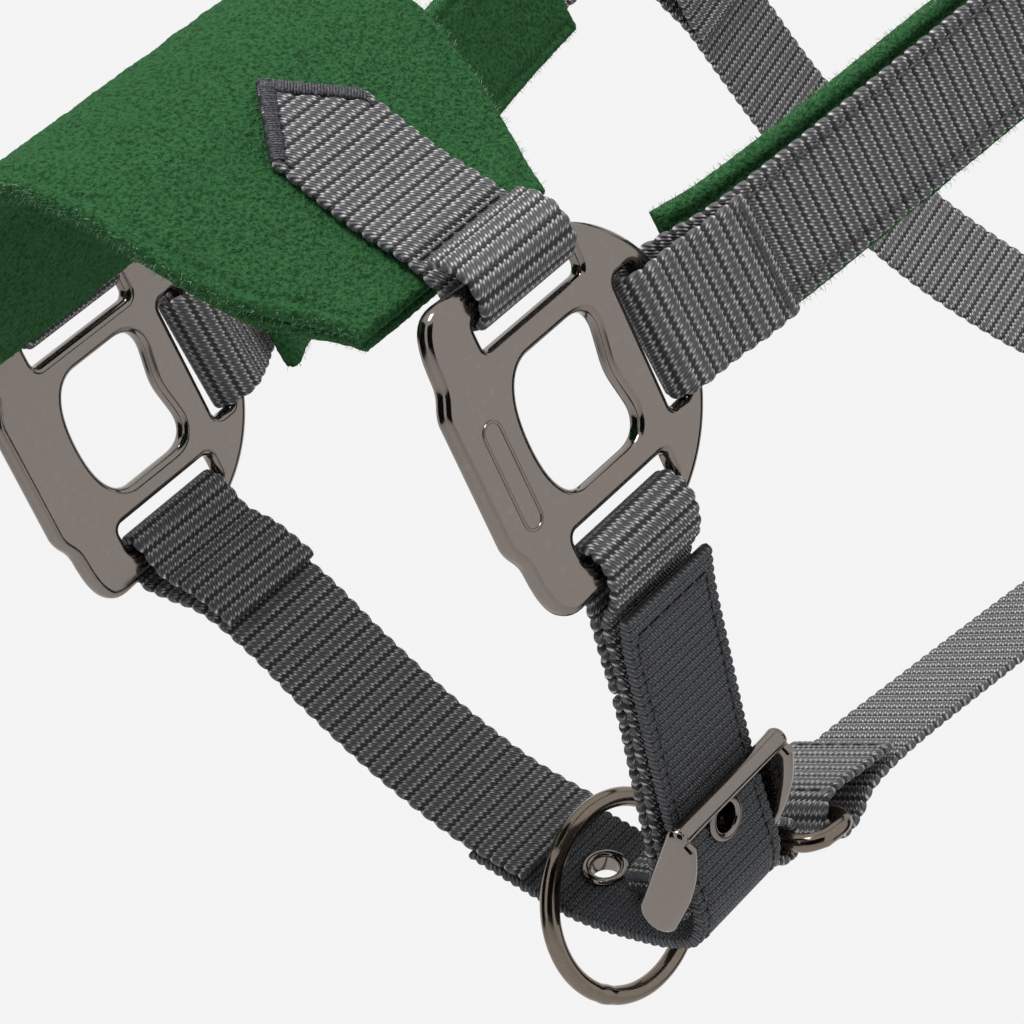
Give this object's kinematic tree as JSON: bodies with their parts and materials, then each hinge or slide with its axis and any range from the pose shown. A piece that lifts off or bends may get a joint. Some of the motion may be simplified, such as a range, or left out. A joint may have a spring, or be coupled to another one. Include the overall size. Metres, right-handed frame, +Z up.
{
  "type": "horse head halter",
  "caption": "Buckled webbing head halter with a fleece-padded noseband and crown, metal side squares and rings, chin strap, throat strap with snap, and crown buckle.",
  "frame": {"origin": "middle of the underside of the padded crown, where the halter hangs on the horse's poll", "axes": "+X to the horse's left (the near side), +Y from the muzzle towards the back of the head, +Z up; the face slopes down 33 degrees"},
  "size_m": [0.2126, 0.3853, 0.4042],
  "materials": {
    "gunmetal_casting": "polished gunmetal plating on cast squares, buckles, snap and eyelets",
    "gunmetal_wire": "polished gunmetal plating on welded round wire",
    "webbing": "slate grey webbing with strong cross ribs and a slight sheen",
    "billet_webbing": "darker, matt, fine-ribbed doubled webbing, stitched round its edge",
    "fleece": "deep green pebbled fleece with a paler cut edge"
  },
  "bodies": {
    "webbing_and_plates": {"near_side_square": "gunmetal_casting", "far_side_square": "gunmetal_casting", "nose_pad_shell": "fleece", "nose_pad_lining": "fleece", "near_nose_tab": "webbing", "far_nose_tab": "webbing", "near_cheek_strap": "webbing", "far_cheek_strap": "webbing", "near_cheek_lining": "fleece", "far_cheek_lining": "fleece", "near_chin_stay": "webbing", "far_chin_strap": "webbing", "chin_billet": "billet_webbing", "chin_eyelet_1": "gunmetal_casting", "chin_eyelet_2": "gunmetal_casting", "jaw_tab": "webbing", "jaw_strap_loop": "gunmetal_wire", "jaw_strap": "webbing", "throat_strap": "webbing", "throat_snap_eye": "gunmetal_casting", "near_crown_stay": "webbing", "crown_strap": "webbing", "crown_lining": "fleece", "crown_keeper": "webbing", "crown_eyelet_1": "gunmetal_casting", "crown_eyelet_2": "gunmetal_casting", "crown_eyelet_3": "gunmetal_casting", "crown_eyelet_4": "gunmetal_casting"},
    "near_cheek_ring": {"near_cheek_ring": "gunmetal_wire"},
    "far_cheek_ring": {"far_cheek_ring": "gunmetal_wire"},
    "chin_ring": {"chin_ring": "gunmetal_wire"},
    "chin_buckle_frame": {"chin_buckle_frame": "gunmetal_casting"},
    "chin_buckle_prong": {"chin_buckle_prong": "gunmetal_casting"},
    "crown_buckle_frame": {"crown_buckle_frame": "gunmetal_casting"},
    "crown_buckle_prong": {"crown_buckle_prong": "gunmetal_casting"},
    "throat_snap_hook": {"throat_snap_hook": "gunmetal_casting"},
    "throat_snap_bolt": {"throat_snap_bolt": "gunmetal_casting"}
  },
  "joints": [
    {"name": "near_cheek_ring_turn", "type": "hinge", "parent": "webbing_and_plates", "child": "near_cheek_ring", "pos_m": [0.097, -0.10989, -0.14583], "axis": [1, 0, 0], "continuous": true},
    {"name": "far_cheek_ring_turn", "type": "hinge", "parent": "webbing_and_plates", "child": "far_cheek_ring", "pos_m": [-0.097, -0.10989, -0.14583], "axis": [1, 0, 0], "continuous": true},
    {"name": "chin_ring_swing", "type": "hinge", "parent": "webbing_and_plates", "child": "chin_ring", "pos_m": [0.013, -0.22526, -0.36073], "axis": [0, 0.8387, 0.5446], "range_deg": [-14, 28]},
    {"name": "chin_buckle_tilt", "type": "hinge", "parent": "webbing_and_plates", "child": "chin_buckle_frame", "pos_m": [0.0435, -0.22959, -0.35627], "axis": [0, 0.8387, 0.5446], "range_deg": [0, 12]},
    {"name": "chin_prong_tilt", "type": "hinge", "parent": "webbing_and_plates", "child": "chin_buckle_prong", "pos_m": [0.0435, -0.22959, -0.35627], "axis": [0, 0.8387, 0.5446], "range_deg": [-3, 0]},
    {"name": "crown_buckle_tilt", "type": "hinge", "parent": "webbing_and_plates", "child": "crown_buckle_frame", "pos_m": [0.0982, -0.06476, -0.08593], "axis": [0, -0.7986, 0.6018], "range_deg": [-1.2, 1.2]},
    {"name": "crown_prong_tilt", "type": "hinge", "parent": "webbing_and_plates", "child": "crown_buckle_prong", "pos_m": [0.0982, -0.06476, -0.08593], "axis": [0, -0.7986, 0.6018], "range_deg": [-2, 0]},
    {"name": "throat_snap_swivel", "type": "hinge", "parent": "webbing_and_plates", "child": "throat_snap_hook", "pos_m": [0.097, -0.07332, -0.17993], "axis": [0, 0.7314, -0.682], "range_deg": [-20, 20]},
    {"name": "throat_snap_bolt_slide", "type": "slide", "parent": "throat_snap_hook", "child": "throat_snap_bolt", "axis": [0, 0.7314, -0.682], "range_m": [0, 0.006], "stiffness_N_per_m": 250, "springref_m": -0.004}
  ]
}
